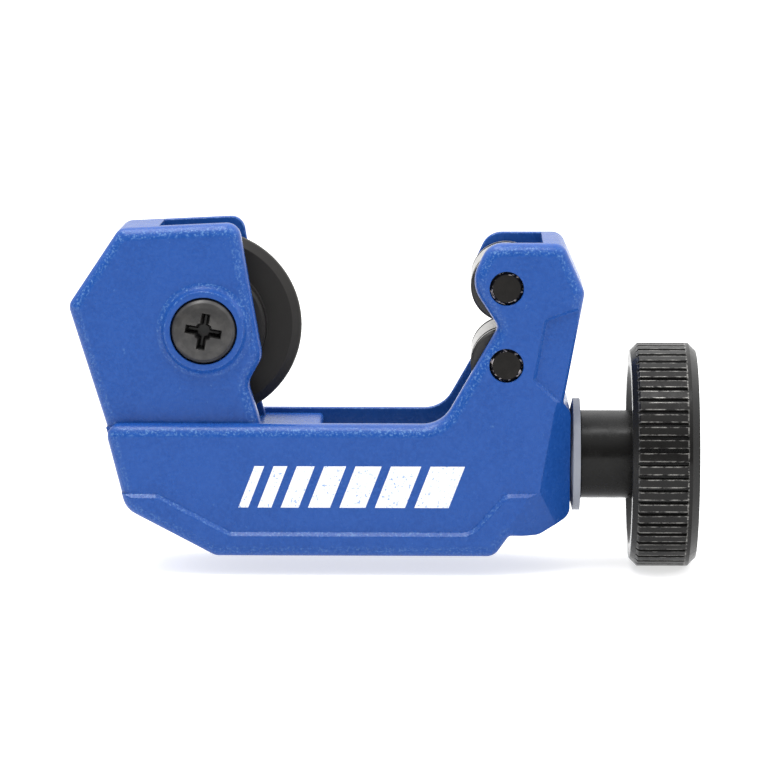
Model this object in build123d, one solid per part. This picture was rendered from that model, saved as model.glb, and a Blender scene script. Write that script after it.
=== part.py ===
from build123d import *
import math
import os

# Mini tubing cutter. All sizes in millimetres.
# +X runs along the feed screw towards the knob, +Z is up through the open jaws, and the front is -Y.
# The origin is under the middle of the whole tool, level with the lowest point of the knob.

# Driving dimensions of the feed drive
KNOB_RADIUS = 13.95
KNOB_LEFT = 30.4
KNOB_RIGHT = 38.6
KNOB_CHAMFER = 0.95
KNURL_RIDGES = 54
KNURL_DEPTH = 0.38
KNURL_GROOVE_SHARE = 0.24
KNURL_END_BAND = 1.45
HUB_RADIUS = 5.5
SCREW_RADIUS = 3.0
THREAD_PITCH = 1.0
THREAD_DEPTH = 0.45
AXIS_Z = KNOB_RADIUS
END_FACE_X = 22.9
END_WALL_X = 15.5
RUNNING_GAP = 0.06
WASHER_RADIUS = 7.0
WASHER_SEAT_RADIUS = 5.6
WASHER_RIM = 0.9
WASHER_THICKNESS = 1.3

# Driving dimensions of the two castings
BODY_HALF = 9.4
BAND_RISE = 0.5
RIM_Z = 18.75
BASE_Z = 2.4
CHANNEL_HALF = 7.0
CHANNEL_FLOOR_Z = 8.5
RAIL_HALF = 7.7
RAIL_TOP_Z = 12.0
ROLLER_SLOT_X = 19.4
ROLLER_SLOT_Z = 20.5
EDGE_ROUND = 1.5
INNER_ROUND = 0.2
SLIDE_GAP = 0.15

# Rollers and their pins
ROLLER_X = 14.95
ROLLER_Z = (26.2, 35.7)
ROLLER_RADIUS = 4.4
ROLLER_LENGTH = 13.4
PIN_RADIUS = 2.0
PIN_HOLE_RADIUS = 2.1
PIN_LENGTH = 18.3
PIN_RIDGES = 20

# Carriage, cutting wheel and its screw
CARRIAGE_HALF = CHANNEL_HALF - SLIDE_GAP
WHEEL_X = -22.3
WHEEL_Z = 30.2
WHEEL_RADIUS = 11.8
WHEEL_SLOT_HALF = 4.3
WHEEL_POCKET_RADIUS = 12.1
WHEEL_SLOT_X = -27.9
WHEEL_SLOT_FLOOR_Z = 18.1
HUB_BOSS_RADIUS = 7.4
SLEEVE_RADIUS = 2.9
AXLE_RADIUS = 2.0
HEAD_RADIUS = 4.0
HEAD_BOSS_RADIUS = 5.0
HEAD_BOSS_RISE = 0.9
HEAD_SEAT_DEPTH = 1.6
FOOT_TOP_Z = 18.1
FOOT_END_X = -8.0
FOOT_BOTTOM_Z = CHANNEL_FLOOR_Z + SLIDE_GAP
STOP_SHOULDER_X = -20.0
STOP_BORE_RADIUS = 3.7
STOP_RING_RADIUS = 3.45


def profile(*corners):
    """Closed face in the X-Z plane from (x, z, corner radius) corners."""
    points = [(x, z) for x, z, radius in corners]
    radii = [radius for x, z, radius in corners]
    with BuildSketch(Plane.XZ) as sketch:
        with BuildLine():
            FilletPolyline(*points, radius=radii, close=True)
        make_face()
    return sketch.sketch


def slab(face, half):
    """The face made into a plate that is symmetric about Y = 0."""
    return extrude(face, amount=half, both=True)


def box(x0, x1, half, z0, z1):
    """A block between two X and two Z values, symmetric about Y = 0."""
    centre = ((x0 + x1) / 2, 0, (z0 + z1) / 2)
    return Pos(*centre) * Box(x1 - x0, 2 * half, z1 - z0)


def rod_x(radius, x0, x1, z=AXIS_Z):
    """A round bar along X."""
    return Pos((x0 + x1) / 2, 0, z) * Rot(0, 90, 0) * Cylinder(radius, x1 - x0)


def rod_y(radius, x, z, y0, y1):
    """A round bar along Y."""
    return Pos(x, (y0 + y1) / 2, z) * Rot(90, 0, 0) * Cylinder(radius, y1 - y0)


def turned_x(*points):
    """A turned piece about the feed axis, from (x, radius) points."""
    face = make_face(Polyline(*[(x, 0, AXIS_Z + r) for x, r in points], close=True).edges())
    return revolve(face, Axis((0, 0, AXIS_Z), (1, 0, 0)))


def turned_y(x, z, *points):
    """A turned piece about an axle along Y, from (y, radius) points."""
    face = make_face(Polyline(*[(x, y, z + r) for y, r in points], close=True).edges())
    return revolve(face, Axis((x, 0, z), (0, 1, 0)))


def rounded_plate(face, half, radius):
    """A casting blank with its front and back edges rounded."""
    plate = slab(face, half)
    rim = [edge for edge in plate.edges() if abs(abs(edge.center().Y) - half) < 0.001]
    return fillet(rim, radius)


def edges_at(shape, half, wanted):
    """Edges that lie in the planes Y = half and Y = -half, and whose middle is in the wanted place."""
    found = []
    for edge in shape.edges():
        size = edge.bounding_box().size
        middle = edge.center()
        if size.Y < 0.01 and abs(abs(middle.Y) - half) < 0.02 and wanted(middle):
            found.append(edge)
    return found


def both_sides(tool):
    """The tool and its mirror image on the other side."""
    return tool + mirror(tool, Plane.XZ)


# The frame: a C-shaped casting with a channel, two ears and an end wall

def frame_outline():
    return profile(
        (-34.7, RIM_Z, 1.6),
        (7.0, RIM_Z, 4.0),
        (13.95, 30.9, 1.2),
        (10.45, 36.2, 4.0),
        (12.75, 41.15, 2.7),
        (21.85, 41.15, 1.7),
        (24.55, 35.1, 1.7),
        (22.0, 21.6, 0.5),
        (END_FACE_X, 20.2, 1.6),
        (END_FACE_X, 7.1, 1.6),
        (19.0, 4.95, 2.0),
        (15.35, 4.95, 0.6),
        (13.5, BASE_Z, 1.8),
        (-20.9, BASE_Z, 1.8),
        (-32.0, 8.2, 3.0),
    )


def lower_band():
    """The proud lower band of the frame, with a sloped ledge along its upper edge."""
    step_line = profile(
        (-40.0, 10.2, 0),
        (-28.0, 10.2, 1.5),
        (-19.0, 5.5, 0.8),
        (10.6, 5.5, 2.5),
        (14.9, 10.35, 1.5),
        (30.0, 10.35, 0),
        (30.0, -5.0, 0),
        (-40.0, -5.0, 0),
    )
    half = BODY_HALF + BAND_RISE
    below = slab(step_line, half)
    ledge = edges_at(below, half, lambda middle: 5.0 < middle.Z < 10.5 and abs(middle.X) < 29.0)
    below = chamfer(ledge, BAND_RISE - 0.02)
    return rounded_plate(frame_outline(), half, EDGE_ROUND) & below


def end_facet(low, high, end):
    """The wedge that thins the end wall behind a crease from low to high, reaching in to the end point."""
    crease_low = Vector(low[0], -BODY_HALF, low[1])
    crease_high = Vector(high[0], -BODY_HALF, high[1])
    inner = Vector(*end)
    along = (crease_high - crease_low).normalized()
    across = inner - crease_low
    across = (across - along * across.dot(along)).normalized()
    outward = across.cross(along)
    if outward.Y > 0:
        outward = outward * -1
    facet = Plane(origin=crease_low, x_dir=along, z_dir=outward)
    length = (crease_high - crease_low).length
    return facet * Pos(length / 2, 0, 5) * Box(length + 60, 60, 10)


def tapered_end():
    """Both facets of the end wall, limited to the wall below the ear."""
    low, middle, high = (15.6, 4.9), (19.05, 10.6), (21.0, 21.5)
    keep_out = box(12.0, 30.0, 20.0, -5.0, high[1] + 0.2)
    upper = end_facet(middle, high, (END_FACE_X, -6.6, 15.0)) & keep_out
    lower = end_facet(low, middle, (END_FACE_X, -6.6, 8.6)) & keep_out
    return both_sides(upper + lower)


def ear_panel():
    """The shallow sunk panel on the outer face of an ear."""
    panel = profile(
        (30.0, 35.9, 0),
        (19.55, 31.95, 0.9),
        (18.15, 24.3, 0.7),
        (21.3, 21.35, 0),
        (30.0, 21.35, 0),
    )
    sunk = extrude(Pos(0, -BODY_HALF, 0) * panel, amount=-0.55, taper=40)
    return both_sides(sunk)


def make_frame():
    frame = rounded_plate(frame_outline(), BODY_HALF, EDGE_ROUND) + lower_band()
    frame -= tapered_end()
    frame -= ear_panel()
    frame -= box(-50.0, END_WALL_X, CHANNEL_HALF, CHANNEL_FLOOR_Z, 50.0)
    frame -= box(-50.0, END_WALL_X, RAIL_HALF, CHANNEL_FLOOR_Z, RAIL_TOP_Z)
    frame -= box(0.0, ROLLER_SLOT_X, CHANNEL_HALF, ROLLER_SLOT_Z, 50.0)
    rims = edges_at(
        frame, CHANNEL_HALF,
        lambda middle: middle.Z > 41.0 or (middle.Z > RIM_Z - 2 and middle.X < END_WALL_X)
    )
    frame = fillet(rims, INNER_ROUND)
    frame -= rod_x(SCREW_RADIUS + RUNNING_GAP, END_WALL_X - 1, END_FACE_X + 1)
    for z in ROLLER_Z:
        frame -= rod_y(PIN_HOLE_RADIUS, ROLLER_X, z, -12.0, 12.0)
    return frame


# The cutter carriage: a second casting that slides in the channel

def carriage_outline():
    return profile(
        (-39.15, 33.15, 1.6),
        (-32.75, 42.7, 1.6),
        (-18.05, 43.4, 1.8),
        (-15.15, 26.8, 2.5),
        (-16.95, 23.6, 2.2),
        (-14.9, 17.0, 0),
        (-14.9, FOOT_BOTTOM_Z + 2, 0),
        (-32.15, FOOT_BOTTOM_Z + 2, 0),
    )


def wheel_slot():
    """The space for the wheel, open at the top and towards the rollers."""
    pocket = rod_y(WHEEL_POCKET_RADIUS, WHEEL_X, WHEEL_Z, -WHEEL_SLOT_HALF, WHEEL_SLOT_HALF)
    mouth = box(WHEEL_X, 0.0, WHEEL_SLOT_HALF, WHEEL_SLOT_FLOOR_Z, 50.0)
    top = box(WHEEL_SLOT_X, 0.0, WHEEL_SLOT_HALF, WHEEL_Z, 50.0)
    return pocket + mouth + top


def carriage_foot():
    """The foot in the channel, with a rail along each side under the channel's lips."""
    body = profile(
        (-34.5, FOOT_TOP_Z, 0),
        (-31.85, FOOT_BOTTOM_Z, 0),
        (FOOT_END_X, FOOT_BOTTOM_Z, 0.6),
        (FOOT_END_X, FOOT_TOP_Z, 0.6),
    )
    rails = profile(
        (-32.0, FOOT_BOTTOM_Z, 0),
        (FOOT_END_X, FOOT_BOTTOM_Z, 0),
        (FOOT_END_X, RAIL_TOP_Z - SLIDE_GAP, 0),
        (-32.75, RAIL_TOP_Z - SLIDE_GAP, 0),
    )
    return slab(body, CARRIAGE_HALF) + slab(rails, RAIL_HALF - SLIDE_GAP)


def head_boss():
    """The raised ring round the head of the wheel screw, with a cove at its root."""
    front = -CARRIAGE_HALF
    rise = HEAD_BOSS_RISE
    return turned_y(
        WHEEL_X, WHEEL_Z,
        (front + 0.5, 0.0),
        (front + 0.5, HEAD_BOSS_RADIUS + 0.85),
        (front, HEAD_BOSS_RADIUS + 0.85),
        (front - 0.08, HEAD_BOSS_RADIUS + 0.55),
        (front - 0.25, HEAD_BOSS_RADIUS + 0.28),
        (front - 0.5, HEAD_BOSS_RADIUS + 0.1),
        (front - rise + 0.25, HEAD_BOSS_RADIUS),
        (front - rise + 0.07, HEAD_BOSS_RADIUS - 0.08),
        (front - rise, HEAD_BOSS_RADIUS - 0.25),
        (front - rise, 0.0),
    )


def make_carriage():
    carriage = rounded_plate(carriage_outline(), CARRIAGE_HALF, EDGE_ROUND)
    carriage += carriage_foot()
    carriage += head_boss()
    carriage -= wheel_slot()
    mouth = edges_at(
        carriage, WHEEL_SLOT_HALF,
        lambda middle: middle.Z > 42.0 or (middle.X > -18.6 and middle.Z > FOOT_TOP_Z + 0.2)
    )
    carriage = fillet(mouth, INNER_ROUND)
    front = -CARRIAGE_HALF - HEAD_BOSS_RISE
    carriage -= rod_y(HEAD_RADIUS + 0.15, WHEEL_X, WHEEL_Z, front - 1, front + HEAD_SEAT_DEPTH)
    carriage -= rod_y(AXLE_RADIUS + 0.05, WHEEL_X, WHEEL_Z, front, 0.0)
    carriage -= rod_y(AXLE_RADIUS, WHEEL_X, WHEEL_Z, 0.0, CARRIAGE_HALF + 1)
    carriage -= rod_x(SCREW_RADIUS + RUNNING_GAP, -40.0, 0.0)
    carriage -= rod_x(STOP_BORE_RADIUS, -40.0, STOP_SHOULDER_X)
    return carriage


# The cutting wheel and what carries it

def make_wheel():
    web, edge_band, hub_half = 0.7, 1.15, WHEEL_SLOT_HALF - 0.3
    bore = SLEEVE_RADIUS + 0.05
    right_side = [
        (hub_half, bore),
        (hub_half, HUB_BOSS_RADIUS - 0.3),
        (hub_half - 0.3, HUB_BOSS_RADIUS),
        (web + 0.15, HUB_BOSS_RADIUS),
        (web, HUB_BOSS_RADIUS + 0.15),
        (web, WHEEL_RADIUS - edge_band),
    ]
    left_side = [(-y, radius) for y, radius in reversed(right_side)]
    return turned_y(WHEEL_X, WHEEL_Z, *right_side, (0, WHEEL_RADIUS), *left_side)


def make_sleeve():
    half = WHEEL_SLOT_HALF - 0.03
    sleeve = rod_y(SLEEVE_RADIUS, WHEEL_X, WHEEL_Z, -half, half)
    return sleeve - rod_y(AXLE_RADIUS + 0.02, WHEEL_X, WHEEL_Z, -half - 1, half + 1)


def cross_recess(face_y, depth):
    """A cross-head recess: four wings round a tapered middle."""
    wing_length, wing_width = 4.6, 1.15
    seat = Plane(origin=(WHEEL_X, face_y, WHEEL_Z), x_dir=(1, 0, 0), z_dir=(0, 1, 0))
    with BuildSketch(seat) as cross:
        with Locations(Rotation(0, 0, 10)):
            Rectangle(wing_length, wing_width)
            Rectangle(wing_width, wing_length)
            RegularPolygon(1.25, 8)
    return extrude(cross.sketch, amount=depth, taper=14)


def make_wheel_screw():
    seat_y = -CARRIAGE_HALF - HEAD_BOSS_RISE + HEAD_SEAT_DEPTH
    head_y = seat_y - 2.3
    screw = turned_y(
        WHEEL_X, WHEEL_Z,
        (seat_y, 0.0),
        (seat_y, HEAD_RADIUS),
        (head_y + 1.15, HEAD_RADIUS),
        (head_y + 0.72, HEAD_RADIUS - 0.13),
        (head_y + 0.38, HEAD_RADIUS - 0.48),
        (head_y + 0.15, HEAD_RADIUS - 1.1),
        (head_y + 0.03, HEAD_RADIUS - 2.0),
        (head_y, 0.0),
    )
    screw += rod_y(AXLE_RADIUS, WHEEL_X, WHEEL_Z, seat_y, CARRIAGE_HALF - 0.2)
    return screw - cross_recess(head_y - 0.05, 1.7)


# Rollers and pins

def make_roller(z):
    half = ROLLER_LENGTH / 2
    edge, groove, rim_band, groove_width = 0.3, 0.22, 0.95, 1.2
    rim = ROLLER_RADIUS
    right_side = [
        (half, PIN_RADIUS + 0.05),
        (half, rim - edge),
        (half - edge, rim),
        (half - rim_band, rim),
        (half - rim_band, rim - groove),
        (half - rim_band - groove_width, rim - groove),
        (half - rim_band - groove_width, rim),
    ]
    left_side = [(-y, radius) for y, radius in reversed(right_side)]
    return turned_y(ROLLER_X, z, *right_side, *left_side)


def make_pin(z):
    """A pin with chamfered ends and a serrated ring under each end that grips its ear."""
    half = PIN_LENGTH / 2
    pin = turned_y(
        ROLLER_X, z,
        (-half, 0.0),
        (-half, PIN_RADIUS - 0.3),
        (-half + 0.3, PIN_RADIUS),
        (half - 0.3, PIN_RADIUS),
        (half, PIN_RADIUS - 0.3),
        (half, 0.0),
    )
    ridge = Pos(ROLLER_X + PIN_RADIUS, 0, z) * Rot(90, 0, 0) * Cylinder(PIN_HOLE_RADIUS - PIN_RADIUS, 1.8)
    axle = Axis((ROLLER_X, 0, z), (0, 1, 0))
    for side in (-1, 1):
        end_ridge = Pos(0, side * (half - 1.5), 0) * ridge
        for index in range(PIN_RIDGES):
            pin += end_ridge.rotate(axle, index * 360 / PIN_RIDGES)
    return pin


# The feed drive: knob, screw, washers and clips

def knurl_groove():
    """One straight groove along the grip, at the top of the knob, ending short of its outer face."""
    pitch = 2 * math.pi * KNOB_RADIUS / KNURL_RIDGES
    width = KNURL_GROOVE_SHARE * pitch
    top = AXIS_Z + KNOB_RADIUS
    with BuildSketch(Plane.YZ.offset(KNOB_LEFT - 1)) as section:
        with BuildLine():
            Polyline(
                (-width / 2 - 0.12, top + 0.1),
                (-width / 4, top - KNURL_DEPTH),
                (width / 4, top - KNURL_DEPTH),
                (width / 2 + 0.12, top + 0.1),
                close=True,
            )
        make_face()
    return extrude(section.sketch, amount=KNOB_RIGHT - KNURL_END_BAND - KNOB_LEFT + 1)


def make_knob():
    hub_left = END_FACE_X + WASHER_THICKNESS
    rim = KNOB_RADIUS
    knob = turned_x(
        (hub_left, SCREW_RADIUS),
        (hub_left, HUB_RADIUS - 0.15),
        (hub_left + 0.15, HUB_RADIUS),
        (KNOB_LEFT + 0.9, HUB_RADIUS),
        (KNOB_LEFT + 0.9, 10.4),
        (KNOB_LEFT, 11.3),
        (KNOB_LEFT, rim - KNOB_CHAMFER),
        (KNOB_LEFT + KNOB_CHAMFER, rim),
        (KNOB_RIGHT - KNOB_CHAMFER, rim),
        (KNOB_RIGHT, rim - KNOB_CHAMFER),
        (KNOB_RIGHT, 9.6),
        (KNOB_RIGHT - 0.8, 8.8),
        (KNOB_RIGHT - 0.8, 6.6),
        (KNOB_RIGHT - 4.6, 6.6),
        (KNOB_RIGHT - 4.6, SCREW_RADIUS),
    )
    feed_axis = Axis((0, 0, AXIS_Z), (1, 0, 0))
    groove = knurl_groove()
    for index in range(KNURL_RIDGES):
        knob -= groove.rotate(feed_axis, index * 360 / KNURL_RIDGES)
    socket = hex_prism(5.02, KNOB_RIGHT - 4.6 - 2.0, KNOB_RIGHT)
    return knob - socket


def hex_prism(across_half, x0, x1):
    """A hexagonal bar along the feed axis, given half its width across the flats."""
    with BuildSketch(Plane.YZ.offset(x0)) as section:
        with Locations((0, AXIS_Z)):
            RegularPolygon(across_half, 6, major_radius=False)
    return extrude(section.sketch, amount=x1 - x0)


def make_feed_screw():
    """A hexagon-headed screw: plain neck through the end wall, then thread rings out to the stop."""
    tip = STOP_SHOULDER_X - 1.9
    head_left = KNOB_RIGHT - 4.6 - 2.0
    thread_end = 13.0
    points = [(head_left, 0.0), (head_left, SCREW_RADIUS), (15.0, SCREW_RADIUS)]
    points += clip_groove(14.55, 13.85, SCREW_RADIUS)
    turns = int((thread_end - STOP_SHOULDER_X) / THREAD_PITCH)
    for turn in range(turns):
        crest = thread_end - turn * THREAD_PITCH
        points += [
            (crest, SCREW_RADIUS),
            (crest - 0.18, SCREW_RADIUS),
            (crest - 0.5, SCREW_RADIUS - THREAD_DEPTH),
            (crest - 0.68, SCREW_RADIUS - THREAD_DEPTH),
        ]
    points += [(STOP_SHOULDER_X, SCREW_RADIUS)]
    points += clip_groove(STOP_SHOULDER_X - 0.3, STOP_SHOULDER_X - 1.1, SCREW_RADIUS)
    points += [(tip + 0.4, SCREW_RADIUS), (tip, SCREW_RADIUS - 0.4), (tip, 0.0)]
    return turned_x(*points) + hex_prism(5.0, head_left, head_left + 3.6)


def clip_groove(right, left, radius):
    """Points of a square groove for a snap ring."""
    return [(right, radius), (right, radius - 0.5), (left, radius - 0.5), (left, radius)]


def make_knob_cap():
    """A push-in cap over the head of the feed screw."""
    right = KNOB_RIGHT - 0.4
    return turned_x(
        (right - 1.6, 0.0),
        (right - 1.6, 6.6),
        (right - 0.5, 6.6),
        (right - 0.15, 6.35),
        (right, 5.6),
        (right, 0.0),
    )


def make_thrust_washer():
    """A nylon washer, conical towards the frame."""
    left = END_FACE_X + RUNNING_GAP
    right = END_FACE_X + WASHER_THICKNESS
    hole = SCREW_RADIUS
    return turned_x(
        (left, hole),
        (left, WASHER_SEAT_RADIUS),
        (right - WASHER_RIM, WASHER_RADIUS),
        (right, WASHER_RADIUS),
        (right, hole),
    )


def make_inner_washer():
    right = END_WALL_X - RUNNING_GAP
    return turned_x((right - 0.8, SCREW_RADIUS), (right - 0.8, 5.2), (right, 5.2), (right, SCREW_RADIUS))


def snap_ring(x_right, x_left, outer):
    """A split ring that snaps into a groove of the feed screw."""
    inner = SCREW_RADIUS - 0.5
    ring = turned_x((x_left, inner), (x_left, outer), (x_right, outer), (x_right, inner))
    gap = Pos((x_left + x_right) / 2, 0, AXIS_Z - outer) * Box(4, 2.4, 2 * outer)
    return ring - gap


def main():
    shapes = {
        "frame": make_frame(),
        "cutter_carriage": make_carriage(),
        "cutter_wheel": make_wheel(),
        "wheel_sleeve": make_sleeve(),
        "wheel_screw": make_wheel_screw(),
        "lower_roller": make_roller(ROLLER_Z[0]),
        "upper_roller": make_roller(ROLLER_Z[1]),
        "lower_roller_pin": make_pin(ROLLER_Z[0]),
        "upper_roller_pin": make_pin(ROLLER_Z[1]),
        "feed_screw": make_feed_screw(),
        "feed_knob": make_knob(),
        "knob_cap": make_knob_cap(),
        "thrust_washer": make_thrust_washer(),
        "inner_washer": make_inner_washer(),
        "screw_retaining_clip": snap_ring(14.55, 13.9, 4.4),
        "carriage_stop_ring": snap_ring(STOP_SHOULDER_X - 0.35, STOP_SHOULDER_X - 1.05, STOP_RING_RADIUS),
    }
    os.makedirs("parts", exist_ok=True)
    for name, shape in shapes.items():
        shape.label = name
        export_step(shape, f"parts/{name}.step")


main()
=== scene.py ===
import math

import bmesh
import bpy
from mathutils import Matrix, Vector


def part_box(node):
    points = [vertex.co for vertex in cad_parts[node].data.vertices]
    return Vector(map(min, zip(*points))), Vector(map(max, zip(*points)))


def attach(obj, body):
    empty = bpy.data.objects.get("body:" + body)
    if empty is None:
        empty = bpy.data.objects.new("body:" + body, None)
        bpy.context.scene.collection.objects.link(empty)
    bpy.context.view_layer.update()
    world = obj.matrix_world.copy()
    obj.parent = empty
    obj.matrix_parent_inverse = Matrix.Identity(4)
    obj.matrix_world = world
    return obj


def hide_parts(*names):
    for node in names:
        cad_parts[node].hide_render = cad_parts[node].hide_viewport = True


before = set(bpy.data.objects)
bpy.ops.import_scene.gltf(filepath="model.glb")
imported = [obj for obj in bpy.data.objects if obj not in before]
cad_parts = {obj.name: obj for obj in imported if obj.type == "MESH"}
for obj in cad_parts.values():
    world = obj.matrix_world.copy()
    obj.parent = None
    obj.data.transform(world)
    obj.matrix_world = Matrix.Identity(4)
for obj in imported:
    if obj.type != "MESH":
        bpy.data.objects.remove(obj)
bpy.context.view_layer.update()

MM = 0.001


# Node trees

class Nodes:
    """A node tree, with short ways to add to it."""

    def __init__(self, tree):
        self.tree = tree

    def node(self, kind, settings=None, **inputs):
        """A new node. An input is given by name, _ for a space, as a value or as another node's output."""
        made = self.tree.nodes.new(kind)
        for name, value in (settings or {}).items():
            setattr(made, name, value)
        for name, value in inputs.items():
            self.feed(made.inputs[name.replace("_", " ")], value)
        return made

    def feed(self, socket, value):
        """Links the socket to a node's output, or sets it to a plain value."""
        if isinstance(value, bpy.types.NodeSocket):
            self.tree.links.new(value, socket)
        else:
            socket.default_value = value

    def math(self, operation, *values):
        made = self.node("ShaderNodeMath", {"operation": operation})
        for socket, value in zip(made.inputs, values):
            self.feed(socket, value)
        return made.outputs[0]

    def times(self, product, *others):
        """The product of two or more values."""
        for other in others:
            product = self.math("MULTIPLY", product, other)
        return product

    def band(self, value, low, high, out_low=0.0, out_high=1.0):
        """The value mapped smoothly from low..high to out_low..out_high. It falls where low is above high."""
        made = self.node("ShaderNodeMapRange", {"interpolation_type": "SMOOTHSTEP"})
        for socket, number in zip(made.inputs, (value, low, high, out_low, out_high)):
            self.feed(socket, number)
        return made.outputs[0]

    def within(self, value, low, high, soft):
        """1 between low and high and 0 outside, with a smooth step of soft to each side of both."""
        rise = self.band(value, low - soft, low + soft)
        fall = self.band(value, high + soft, high - soft)
        return self.times(rise, fall)


class Recipe(Nodes):
    """A Principled material, placed by the object's own coordinates."""

    def __init__(self, name):
        self.material = bpy.data.materials.new(name)
        self.material.use_nodes = True
        super().__init__(self.material.node_tree)
        self.shader = self.tree.nodes["Principled BSDF"]
        self.place = self.node("ShaderNodeTexCoord").outputs["Object"]

    def surface(self, **inputs):
        """Sets the shader's own inputs, _ for a space."""
        for name, value in inputs.items():
            self.feed(self.shader.inputs[name.replace("_", " ")], value)

    def noise(self, size, detail=2.0, roughness=0.5, stretch=None):
        """Noise whose features are about size metres across, optionally stretched along an axis."""
        where = self.place
        if stretch:
            where = self.node("ShaderNodeMapping", Vector=where, Scale=stretch).outputs[0]
        made = self.node(
            "ShaderNodeTexNoise", Vector=where, Scale=1 / size, Detail=detail, Roughness=roughness
        )
        return made.outputs["Fac"]

    def mix(self, share, first, second):
        """A colour between first and second."""
        made = self.node("ShaderNodeMix", {"data_type": "RGBA"})
        self.feed(made.inputs[0], share)
        for socket, colour in ((made.inputs[6], first), (made.inputs[7], second)):
            self.feed(socket, colour if isinstance(colour, bpy.types.NodeSocket) else (*colour, 1.0))
        return made.outputs[2]

    def along(self, axis):
        """The place along X, Y or Z, in metres."""
        return self.node("ShaderNodeSeparateXYZ", Vector=self.place).outputs[axis]

    def away_from(self, centre, axis):
        """Distance from a line through centre along X, Y or Z."""
        across = tuple(0.0 if name == axis else 1.0 for name in "XYZ")
        result = self.place
        for operation, amount in (("SUBTRACT", tuple(centre)), ("MULTIPLY", across)):
            made = self.node("ShaderNodeVectorMath", {"operation": operation})
            self.feed(made.inputs[0], result)
            self.feed(made.inputs[1], amount)
            result = made.outputs[0]
        length = self.node("ShaderNodeVectorMath", {"operation": "LENGTH"})
        self.feed(length.inputs[0], result)
        return length.outputs["Value"]

    def rings(self, distance, width):
        """Fine turning marks: noise that only changes with the distance from the axis."""
        made = self.node("ShaderNodeTexNoise", {"noise_dimensions": "1D"}, Scale=1.0, Detail=3.0)
        self.feed(made.inputs["W"], self.math("DIVIDE", distance, width))
        return made.outputs["Fac"]

    def relief(self, height, depth, strength=1.0, edge_radius=0.0):
        """Bump of the given depth in metres, over edges softened by edge_radius."""
        bump = self.node("ShaderNodeBump", Height=height, Distance=depth, Strength=strength)
        if edge_radius:
            soft = self.node("ShaderNodeBevel", {"samples": 6}, Radius=edge_radius)
            self.feed(bump.inputs["Normal"], soft.outputs[0])
        self.surface(Normal=bump.outputs[0])

    def normal(self, axis):
        """The surface normal's share along an axis, -1 to 1."""
        normal = self.node("ShaderNodeNewGeometry").outputs["Normal"]
        return self.node("ShaderNodeSeparateXYZ", Vector=normal).outputs[axis]

    def facing(self, axis):
        """How far the surface faces along an axis either way, 0 to 1."""
        return self.math("ABSOLUTE", self.normal(axis))


def middle(node):
    """The middle of a CAD node's box."""
    low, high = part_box(node)
    return (low + high) / 2


def outer_radius(node, axis):
    """Half of a CAD node's extent along axis 0, 1 or 2."""
    low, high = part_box(node)
    return (high[axis] - low[axis]) / 2


# Materials

END_WALL_X = 15.4 * MM
EAR_BOTTOM_Z = 21.8 * MM
WALL_FADE = 0.4 * MM


def blue_casting():
    """Blue powder coat: orange peel, and lighter specks over rounded edges that are partly where the coat
    thins and partly painted highlight.
    """
    recipe = Recipe("blue_casting")
    peel = recipe.noise(0.42 * MM, 3.0, 0.6)
    cloud = recipe.noise(5.0 * MM, 2.0)
    tint = recipe.mix(recipe.band(cloud, 0.3, 0.7), (0.008, 0.056, 0.256), (0.010, 0.063, 0.280))
    grain = recipe.mix(recipe.band(peel, 0.35, 0.7), tint, (0.014, 0.072, 0.300))
    # lighter specks along rounded edges: partly thin coat, partly painted highlight that is strongest on
    # edges facing up
    thin_coat_and_glint = recipe.times(thin_coat_and_lit_edges(recipe), recipe.band(recipe.noise(0.30 * MM, 3.0, 0.7), 0.50, 0.64), 0.7)
    scattered = recipe.times(recipe.band(recipe.noise(0.8 * MM, 3.0, 0.7), 0.68, 0.76), 0.35)
    recipe.surface(
        Base_Color=recipe.mix(recipe.math("MAXIMUM", thin_coat_and_glint, scattered), grain, (0.12, 0.24, 0.47)),
        Roughness=recipe.band(recipe.noise(1.1 * MM), 0.3, 0.7, 0.22, 0.29),
        Specular_IOR_Level=0.22,
    )
    recipe.relief(peel, 0.035 * MM, 0.8, 0.22 * MM)
    return recipe.material


def thin_coat_and_lit_edges(recipe):
    """Where the coat is thin and painted highlight falls: edges between the front or back and a side, most of
    all those that face up toward the light.

    The thinned end wall under the ears is left out, as all of it slopes like an edge.
    """
    facing = recipe.facing("Y")
    edge = recipe.times(recipe.band(facing, 0.45, 0.88), recipe.band(facing, 0.9999, 0.985))
    past_wall = recipe.band(recipe.along("X"), END_WALL_X - WALL_FADE, END_WALL_X + WALL_FADE)
    below_ear = recipe.band(recipe.along("Z"), EAR_BOTTOM_Z + WALL_FADE, EAR_BOTTOM_Z - WALL_FADE)
    elsewhere = recipe.math("SUBTRACT", 1.0, recipe.times(past_wall, below_ear))
    # painted highlight: upward-facing edges get more of the lighter specks, as if lit from above
    upward = recipe.band(recipe.normal("Z"), -0.15, 0.35, 0.45, 1.0)
    return recipe.times(edge, elsewhere, upward)


RECESS_DEPTHS = (0.25 * MM, 0.75 * MM)
RECESS_RADII = (2.75 * MM, 2.5 * MM)


def black_oxide():
    """The wheel screw: black oxide, grey from wear on the dome, with painted shade that makes the cross
    recess nearly black.
    """
    recipe = Recipe("black_oxide")
    patch = recipe.noise(1.6 * MM, 3.0, 0.6)
    dome = recipe.mix(recipe.band(patch, 0.35, 0.7), (0.034, 0.033, 0.033), (0.058, 0.056, 0.054))
    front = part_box("wheel_screw")[0].y
    deep = recipe.band(recipe.along("Y"), *(front + depth for depth in RECESS_DEPTHS))
    inner = recipe.band(recipe.away_from(middle("wheel_screw"), "Y"), *RECESS_RADII)
    recipe.surface(
        # painted shade: the deep middle of the cross recess is darkened nearly to black
        Base_Color=recipe.mix(recipe.times(deep, inner), dome, (0.010, 0.010, 0.010)),
        Metallic=0.35,
        Roughness=recipe.band(patch, 0.3, 0.7, 0.42, 0.30),
        Specular_IOR_Level=0.35,
    )
    recipe.relief(recipe.noise(0.22 * MM, 3.0), 0.012 * MM, 0.6, 0.12 * MM)
    return recipe.material


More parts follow.
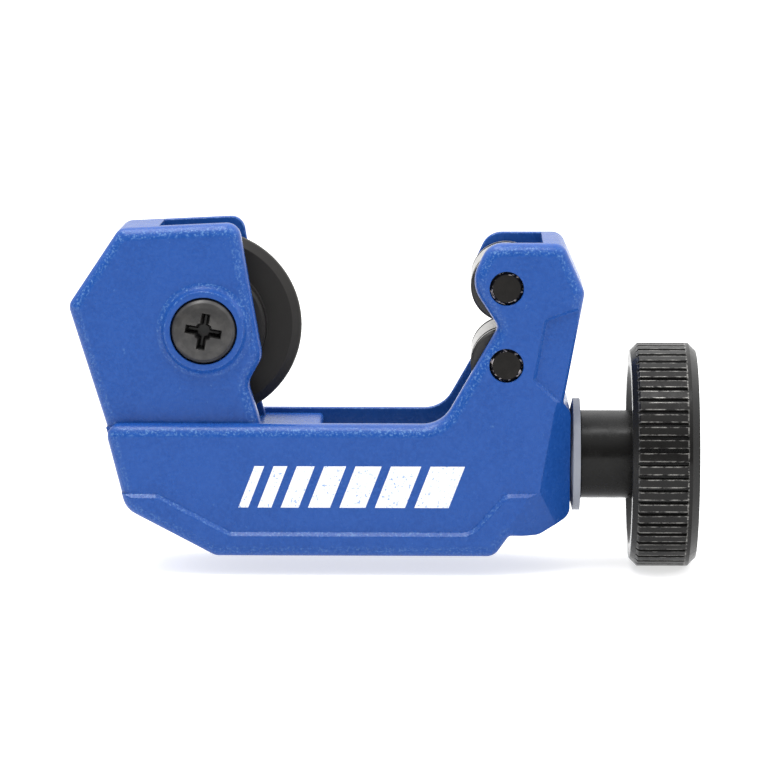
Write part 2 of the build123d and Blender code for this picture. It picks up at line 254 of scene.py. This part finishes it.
def pin_steel():
    """Oiled dark steel with bright spots on the serrated crown and the chamfer that are partly nicks and
    partly painted glints.
    """
    recipe = Recipe("pin_steel")
    nick_and_glint = recipe.band(recipe.noise(0.9 * MM, 3.0, 0.65), 0.52, 0.60)
    chamfer = recipe.band(recipe.facing("Y"), 0.97, 0.75)
    patch = recipe.noise(1.2 * MM, 3.0)
    dark = recipe.mix(patch, (0.006, 0.0055, 0.005), (0.013, 0.0115, 0.0105))
    recipe.surface(
        # painted glints: bright spots on the chamfer, partly nicks and partly highlights
        Base_Color=recipe.mix(recipe.times(nick_and_glint, chamfer), dark, (0.75, 0.66, 0.58)),
        Metallic=0.3,
        Roughness=recipe.band(patch, 0.3, 0.7, 0.48, 0.34),
        Specular_IOR_Level=0.2,
    )
    recipe.relief(recipe.noise(0.25 * MM, 3.0), 0.02 * MM, 0.7, 0.1 * MM)
    return recipe.material


BEVEL_INSETS = (1.22 * MM, 1.08 * MM)
CUTTING_EDGE_INSETS = (0.22 * MM, 0.05 * MM)


def wheel_steel():
    """The cutting wheel: dark turned faces, a paler ground bevel and a bright cutting edge."""
    recipe = Recipe("wheel_steel")
    distance = recipe.away_from(middle("cutter_wheel"), "Y")
    rim = outer_radius("cutter_wheel", 0)
    turned = recipe.rings(distance, 0.11 * MM)
    bevel = recipe.band(distance, *(rim - inset for inset in BEVEL_INSETS))
    edge = recipe.band(distance, *(rim - inset for inset in CUTTING_EDGE_INSETS))
    patch = recipe.noise(2.4 * MM, 3.0, 0.6)
    face = recipe.mix(patch, (0.0085, 0.0078, 0.0074), (0.0125, 0.0115, 0.0108))
    ground = recipe.mix(patch, (0.018, 0.0168, 0.016), (0.026, 0.0245, 0.023))
    colour = recipe.mix(bevel, face, ground)
    recipe.surface(
        Base_Color=recipe.mix(recipe.times(edge, 0.6), colour, (0.14, 0.135, 0.125)),
        Metallic=0.2,
        Roughness=recipe.band(turned, 0.3, 0.7, 0.40, 0.52),
        Specular_IOR_Level=0.25,
    )
    recipe.relief(turned, 0.008 * MM, 0.5, 0.1 * MM)
    return recipe.material


ROLLER_GROOVE_FROM_END = 0.93 * MM
ROLLER_GROOVE_WIDTH = 1.24 * MM
ROLLER_GROOVE_FADE = 0.03 * MM


def roller_steel():
    """Rollers: bright ground tread, black end faces, and a groove darkened to black as painted shade."""
    recipe = Recipe("roller_steel")
    along = recipe.math("ABSOLUTE", recipe.along("Y"))
    groove_end = outer_radius("upper_roller", 1) - ROLLER_GROOVE_FROM_END
    # painted shade: the whole groove is darkened to black like a shadowed recess
    groove = recipe.within(along, groove_end - ROLLER_GROOVE_WIDTH, groove_end, ROLLER_GROOVE_FADE)
    end_face = recipe.band(recipe.facing("Y"), 0.35, 0.6)
    dark = recipe.math("MAXIMUM", end_face, groove)
    streak = recipe.noise(0.6 * MM, 3.0, 0.6, stretch=(3.0, 0.4, 3.0))
    tread = recipe.mix(streak, (0.42, 0.41, 0.395), (0.60, 0.59, 0.57))
    recipe.surface(
        Base_Color=recipe.mix(dark, tread, (0.018, 0.017, 0.016)),
        Metallic=recipe.math("SUBTRACT", 0.9, recipe.times(dark, 0.7)),
        Roughness=recipe.band(streak, 0.3, 0.7, 0.30, 0.42),
    )
    recipe.relief(streak, 0.006 * MM, 0.5, 0.1 * MM)
    return recipe.material


def plated_steel():
    """Dull bright plating with faint patches, on the parts inside."""
    recipe = Recipe("plated_steel")
    patch = recipe.noise(1.4 * MM, 4.0, 0.6)
    recipe.surface(
        Base_Color=recipe.mix(patch, (0.34, 0.34, 0.33), (0.52, 0.52, 0.51)),
        Metallic=0.95,
        Roughness=recipe.band(patch, 0.3, 0.7, 0.38, 0.24),
    )
    recipe.relief(recipe.noise(0.2 * MM, 2.0), 0.006 * MM, 0.5, 0.08 * MM)
    return recipe.material


KNURL_RIDGES = 54
KNURL_END_BAND = 1.45 * MM
KNURL_LENGTH = 6.1 * MM
KNURL_MARGIN = 0.1 * MM
KNURL_FADE = 0.05 * MM
RIDGE_EDGE = (0.17, 0.25)
RIDGE_EDGE_FADE = 0.02


def black_knob():
    """Gloss black knob: dull grooves, and lighter metallic lines along the ridge tops' edges and ends that
    are partly rubbing and partly painted highlight.
    """
    recipe = Recipe("black_knob")
    distance = recipe.away_from(middle("feed_knob"), "X")
    rim = outer_radius("feed_knob", 1)
    top = recipe.band(distance, rim - 0.45 * MM, rim - 0.2 * MM)
    groove = recipe.times(
        recipe.band(distance, rim - 0.20 * MM, rim - 0.34 * MM),
        recipe.band(distance, rim - 0.80 * MM, rim - 0.55 * MM),
    )
    rub_and_glint_breakup = recipe.band(recipe.noise(0.7 * MM, 4.0, 0.7, stretch=(0.6, 1.5, 1.5)), 0.40, 0.62)
    # painted highlight: the lighter, metallic ridge-edge lines stand partly for rubbing and partly for
    # highlights
    line = recipe.times(ridge_outline(recipe), top, rub_and_glint_breakup)
    coat = recipe.mix(recipe.noise(2.5 * MM, 3.0), (0.006, 0.0058, 0.0056), (0.011, 0.0106, 0.010))
    rub_and_glint_colour = recipe.mix(line, coat, (0.21, 0.205, 0.195))
    recipe.surface(
        Base_Color=recipe.mix(groove, rub_and_glint_colour, (0.008, 0.008, 0.008)),
        Metallic=recipe.times(line, 0.7),
        Roughness=recipe.band(recipe.noise(1.2 * MM, 3.0, 0.6), 0.3, 0.7, 0.16, 0.30),
        Specular_IOR_Level=0.17,
    )
    recipe.relief(recipe.noise(1.0 * MM, 3.0, 0.6), 0.02 * MM, 0.5, 0.1 * MM)
    return recipe.material


def ridge_outline(recipe):
    """The long edges and the ends of each knurl ridge."""
    centre = middle("feed_knob")
    rise = recipe.math("SUBTRACT", recipe.along("Z"), centre.z)
    turn = recipe.math("ARCTAN2", rise, recipe.math("SUBTRACT", recipe.along("Y"), centre.y))
    phase = recipe.math("FRACT", recipe.times(turn, KNURL_RIDGES / (2 * math.pi)))
    from_groove = recipe.math("ABSOLUTE", recipe.math("SUBTRACT", phase, 0.5))
    side = recipe.within(from_groove, *RIDGE_EDGE, RIDGE_EDGE_FADE)

    outer_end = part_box("feed_knob")[1].x - KNURL_END_BAND
    inner_end = outer_end - KNURL_LENGTH
    x = recipe.along("X")
    from_ends = recipe.math(
        "MINIMUM",
        *(recipe.math("ABSOLUTE", recipe.math("SUBTRACT", x, end)) for end in (outer_end, inner_end)),
    )
    end = recipe.band(from_ends, 0.12 * MM, 0.06 * MM)
    inside = recipe.within(x, inner_end - KNURL_MARGIN, outer_end + KNURL_MARGIN, KNURL_FADE)
    return recipe.times(inside, recipe.math("MAXIMUM", side, end))


def moulded_plastic(name, dark, light, roughness, gloss):
    """Moulded plastic with faint flow patches and a fine grain."""
    recipe = Recipe(name)
    patch = recipe.noise(2.0 * MM, 3.0)
    recipe.surface(
        Base_Color=recipe.mix(patch, dark, light),
        Roughness=recipe.band(patch, 0.3, 0.7, roughness - 0.05, roughness + 0.07),
        Specular_IOR_Level=gloss,
    )
    recipe.relief(recipe.noise(0.5 * MM, 2.0), 0.01 * MM, 0.5, 0.1 * MM)
    return recipe.material


def printed_white():
    """White pad print with small gaps where the orange peel shows through."""
    recipe = Recipe("printed_white")
    hole = recipe.band(recipe.noise(0.36 * MM, 3.0, 0.65), 0.42, 0.33)
    cloud = recipe.noise(2.0 * MM, 2.0)
    ink = recipe.mix(cloud, (0.70, 0.72, 0.76), (0.84, 0.85, 0.87))
    recipe.surface(Base_Color=recipe.mix(hole, ink, (0.20, 0.33, 0.62)), Roughness=0.6)
    recipe.relief(recipe.noise(0.42 * MM, 3.0, 0.6), 0.03 * MM, 0.7)
    return recipe.material


def paint(material, *nodes):
    """Gives the CAD nodes a material."""
    for node in nodes:
        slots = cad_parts[node].data.materials
        slots.clear()
        slots.append(material)


# Visible pieces that stand in for or sit on the CAD

def mesh_piece(name, build, material, body):
    """A new mesh filled by build(bmesh), riding on a body."""
    work = bmesh.new()
    build(work)
    bmesh.ops.recalc_face_normals(work, faces=work.faces)
    mesh = bpy.data.meshes.new(name)
    work.to_mesh(mesh)
    work.free()
    mesh.materials.append(material)
    piece = bpy.data.objects.new(name, mesh)
    bpy.context.collection.objects.link(piece)
    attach(piece, body)
    return piece


def loft(work, outlines):
    """A closed skin through outlines that all have the same number of points."""
    loops = [[work.verts.new(point) for point in outline] for outline in outlines]
    work.faces.new(loops[0])
    work.faces.new(loops[-1])
    for before, after in zip(loops, loops[1:]):
        for index in range(len(before)):
            beside = (index + 1) % len(before)
            work.faces.new((before[index], before[beside], after[beside], after[index]))


BAND_RISE = 0.5 * MM
MARK_LEFT = -18.0 * MM
MARK_RIGHT = 9.9 * MM
MARK_BOTTOM = 8.55 * MM
MARK_HEIGHT = 5.15 * MM
MARK_SLANT = 2.0 * MM
MARK_GAP = 1.15 * MM
MARK_BARS = (1.2, 1.7, 2.2, 2.7, 3.2, 3.7, 4.2)
INK_SINK = 0.01 * MM
INK_RISE = 0.04 * MM
INK_ROUND = 0.06 * MM


def slanted_bar(work, left, width, front):
    """One raised bar of the printed mark, thinner at its outline than in its middle."""
    right, top = left + width, MARK_BOTTOM + MARK_HEIGHT
    corners = (
        Vector((left, MARK_BOTTOM)),
        Vector((right, MARK_BOTTOM)),
        Vector((right + MARK_SLANT, top)),
        Vector((left + MARK_SLANT, top)),
    )
    centre = Vector((left + width / 2 + MARK_SLANT / 2, MARK_BOTTOM + MARK_HEIGHT / 2))
    layers = ((0.0, front + INK_SINK), (0.0, front - INK_RISE / 2), (INK_ROUND, front - INK_RISE))
    outlines = []
    for inset, y in layers:
        moved = [corner + (centre - corner).normalized() * inset for corner in corners]
        outlines.append([(point.x, y, point.y) for point in moved])
    loft(work, outlines)


def build_mark(work):
    """A generic mark: a row of slanted bars that widen from left to right."""
    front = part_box("frame")[0].y + BAND_RISE
    room = MARK_RIGHT - MARK_LEFT - MARK_SLANT - MARK_GAP * (len(MARK_BARS) - 1)
    unit = room / sum(MARK_BARS)
    left = MARK_LEFT
    for share in MARK_BARS:
        slanted_bar(work, left, share * unit, front)
        left += share * unit + MARK_GAP


SCREW_RADIUS = 3.0 * MM
SCREW_SIDES = 48
SCREW_TIP = 1.9 * MM
TIP_CHAMFER = 0.4 * MM
THREAD_PITCH = 1.0 * MM
THREAD_TURNS = 33
STEPS_PER_TURN = 13
THREAD_DEPTH = 0.52 * MM
THREAD_CREST = 0.18
THREAD_FLANK = 0.62
RING_GROOVE_DEPTH = 0.5 * MM
STOP_GROOVE = (1.1 * MM, 0.3 * MM)
CLIP_GROOVE_HALF = 0.35 * MM
HEAD_SIDES = 6
HEAD_LENGTH = 3.6 * MM
HEAD_HALF_FLATS = 5.0 * MM
HEAD_CHAMFER = (0.35 * MM, 0.5 * MM)


def screw_outline(x, axis_z, radii):
    """Evenly spaced points round the feed axis at x, one for each radius."""
    points = []
    for side, radius in enumerate(radii):
        angle = 2 * math.pi * side / len(radii)
        points.append((x, radius * math.cos(angle), axis_z + radius * math.sin(angle)))
    return points


def thread_radius(x, turn, start, end):
    """Radius of the threaded stretch: a right-hand V thread with flat crests that runs out at both ends."""
    phase = (x - start) / THREAD_PITCH - turn
    valley = 1.0 - abs(2.0 * (phase % 1.0) - 1.0)
    cut = min(max((valley - THREAD_CREST) / THREAD_FLANK, 0.0), 1.0)
    fade = min(max((x - start) / THREAD_PITCH, 0.0), max((end - x) / THREAD_PITCH, 0.0), 1.0)
    return SCREW_RADIUS - THREAD_DEPTH * cut * fade


def ring_groove(low, high):
    """Profile points of a square groove for a snap ring."""
    bottom = SCREW_RADIUS - RING_GROOVE_DEPTH
    return [(low, SCREW_RADIUS), (low, bottom), (high, bottom), (high, SCREW_RADIUS)]


def build_screw(work):
    """The feed screw: tip with the stop ring's groove, thread, neck with a clip groove, and hexagon head."""
    low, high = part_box("feed_screw")
    axis_z = (low.z + high.z) / 2
    head = high.x - HEAD_LENGTH
    start = low.x + SCREW_TIP
    length = THREAD_TURNS * THREAD_PITCH
    clip = middle("screw_retaining_clip").x

    def plain(profile):
        return [screw_outline(x, axis_z, [radius] * SCREW_SIDES) for x, radius in profile]

    def threaded(x):
        turns = (side / SCREW_SIDES for side in range(SCREW_SIDES))
        return screw_outline(x, axis_z, [thread_radius(x, turn, start, start + length) for turn in turns])

    steps = THREAD_TURNS * STEPS_PER_TURN
    tip = [(low.x, SCREW_RADIUS - TIP_CHAMFER), (low.x + TIP_CHAMFER, SCREW_RADIUS)]
    tip += ring_groove(*(start - before for before in STOP_GROOVE))
    neck = ring_groove(clip - CLIP_GROOVE_HALF, clip + CLIP_GROOVE_HALF)
    neck.append((head, SCREW_RADIUS))
    thread = [threaded(start + length * step / steps) for step in range(steps + 1)]
    loft(work, plain(tip) + thread + plain(neck))
    hexagon_head(work, head, high.x, axis_z)


def hexagon_head(work, left, right, axis_z):
    """The head, with its outer end chamfered."""
    corner = HEAD_HALF_FLATS / math.cos(math.pi / HEAD_SIDES)
    along, inward = HEAD_CHAMFER
    profile = ((left, corner), (right - along, corner), (right, corner - inward))
    loft(work, [screw_outline(x, axis_z, [reach] * HEAD_SIDES) for x, reach in profile])


# Stage

FLOOR_HALF = 3.0
WORLD_BANDS = (
    # axis, from and to as shares of the direction, strength at each
    ("Y", -0.7, 0.7, 0.30, 0.95),
    ("Z", 0.25, 0.95, 0.0, 1.5),
    ("X", 0.1, 0.9, 0.0, 0.9),
)


def make_floor(material):
    """A wide sheet for the object to stand on."""
    corners = [(x * FLOOR_HALF, y * FLOOR_HALF, 0) for x, y in ((-1, -1), (1, -1), (1, 1), (-1, 1))]
    mesh = bpy.data.meshes.new("floor")
    mesh.from_pydata(corners, [], [(0, 1, 2, 3)])
    mesh.materials.append(material)
    floor = bpy.data.objects.new("floor", mesh)
    bpy.context.collection.objects.link(floor)


def floor_paper():
    """White paper, lit from within so that only soft shadows mark it."""
    recipe = Recipe("floor_paper")
    fibre = recipe.noise(0.6 * MM, 3.0)
    recipe.surface(
        Base_Color=recipe.mix(fibre, (0.52, 0.52, 0.52), (0.56, 0.56, 0.56)),
        Roughness=0.85,
        Emission_Color=(1.0, 1.0, 1.0, 1.0),
        Emission_Strength=0.66,
    )
    return recipe.material


def make_world():
    """A studio that looks plain white, and gives more light from above, behind and the right."""
    world = bpy.data.worlds.new("studio")
    bpy.context.scene.world = world
    world.use_nodes = True
    nodes = Nodes(world.node_tree)
    view = nodes.node("ShaderNodeTexCoord").outputs["Generated"]
    direction = nodes.node("ShaderNodeSeparateXYZ", Vector=view).outputs
    levels = [nodes.band(direction[axis], *span) for axis, *span in WORLD_BANDS]
    total = levels[0]
    for level in levels[1:]:
        total = nodes.math("ADD", total, level)
    seen = nodes.node("ShaderNodeLightPath").outputs["Is Camera Ray"]
    background = nodes.tree.nodes["Background"]
    nodes.feed(background.inputs["Color"], (1, 1, 1, 1))
    nodes.feed(background.inputs["Strength"], nodes.math("MAXIMUM", total, seen))


LIGHT_PLACE = Vector((-0.1, -0.05, 0.5))
LIGHT_TARGET = Vector((0, 0, 0.02))
LIGHT_SIZE = (0.45, 0.2)
LIGHT_POWER = 2.0


def make_light():
    """A soft light overhead."""
    data = bpy.data.lights.new("top", "AREA")
    data.shape = "RECTANGLE"
    data.size, data.size_y = LIGHT_SIZE
    data.energy = LIGHT_POWER
    light = bpy.data.objects.new("top", data)
    bpy.context.collection.objects.link(light)
    light.location = LIGHT_PLACE
    light.rotation_euler = (LIGHT_TARGET - LIGHT_PLACE).to_track_quat("-Z", "Y").to_euler()


AZIMUTH = math.radians(1.2)
ELEVATION = math.radians(7.5)
DISTANCE = 0.5
TARGET = Vector((-0.25, 0.0, 22.7)) * MM
VIEW_WIDTH = 0.096
SENSOR_WIDTH = 36.0
CLIP_START = 0.01


def make_camera():
    """A long lens in front of the object, a little above it and to its right."""
    data = bpy.data.cameras.new("camera")
    data.sensor_width = SENSOR_WIDTH
    data.lens = SENSOR_WIDTH * DISTANCE / VIEW_WIDTH
    data.clip_start = CLIP_START
    camera = bpy.data.objects.new("camera", data)
    bpy.context.collection.objects.link(camera)
    level = math.cos(ELEVATION)
    back = Vector((math.sin(AZIMUTH) * level, -math.cos(AZIMUTH) * level, math.sin(ELEVATION)))
    camera.location = TARGET + back * DISTANCE
    camera.rotation_euler = (-back).to_track_quat("-Z", "Y").to_euler()
    bpy.context.scene.camera = camera


# The object

PLATED = plated_steel()
CAP_BLACK = moulded_plastic("knob_cap", (0.008, 0.008, 0.008), (0.018, 0.018, 0.018), 0.32, 0.25)
GREY_NYLON = moulded_plastic("grey_nylon", (0.235, 0.25, 0.29), (0.28, 0.295, 0.34), 0.42, 0.5)
paint(blue_casting(), "frame", "cutter_carriage")
paint(black_oxide(), "wheel_screw")
paint(pin_steel(), "lower_roller_pin", "upper_roller_pin")
paint(wheel_steel(), "cutter_wheel")
paint(roller_steel(), "upper_roller", "lower_roller")
paint(black_knob(), "feed_knob")
paint(CAP_BLACK, "knob_cap")
paint(GREY_NYLON, "thrust_washer")
paint(PLATED, "feed_screw", "inner_washer", "wheel_sleeve", "screw_retaining_clip", "carriage_stop_ring")
mesh_piece("printed_mark", build_mark, printed_white(), "frame")
screw = mesh_piece("threaded_screw", build_screw, PLATED, "knob")
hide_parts("feed_screw")

bpy.context.scene.view_settings.view_transform = "Standard"
make_floor(floor_paper())
make_world()
make_light()
make_camera()
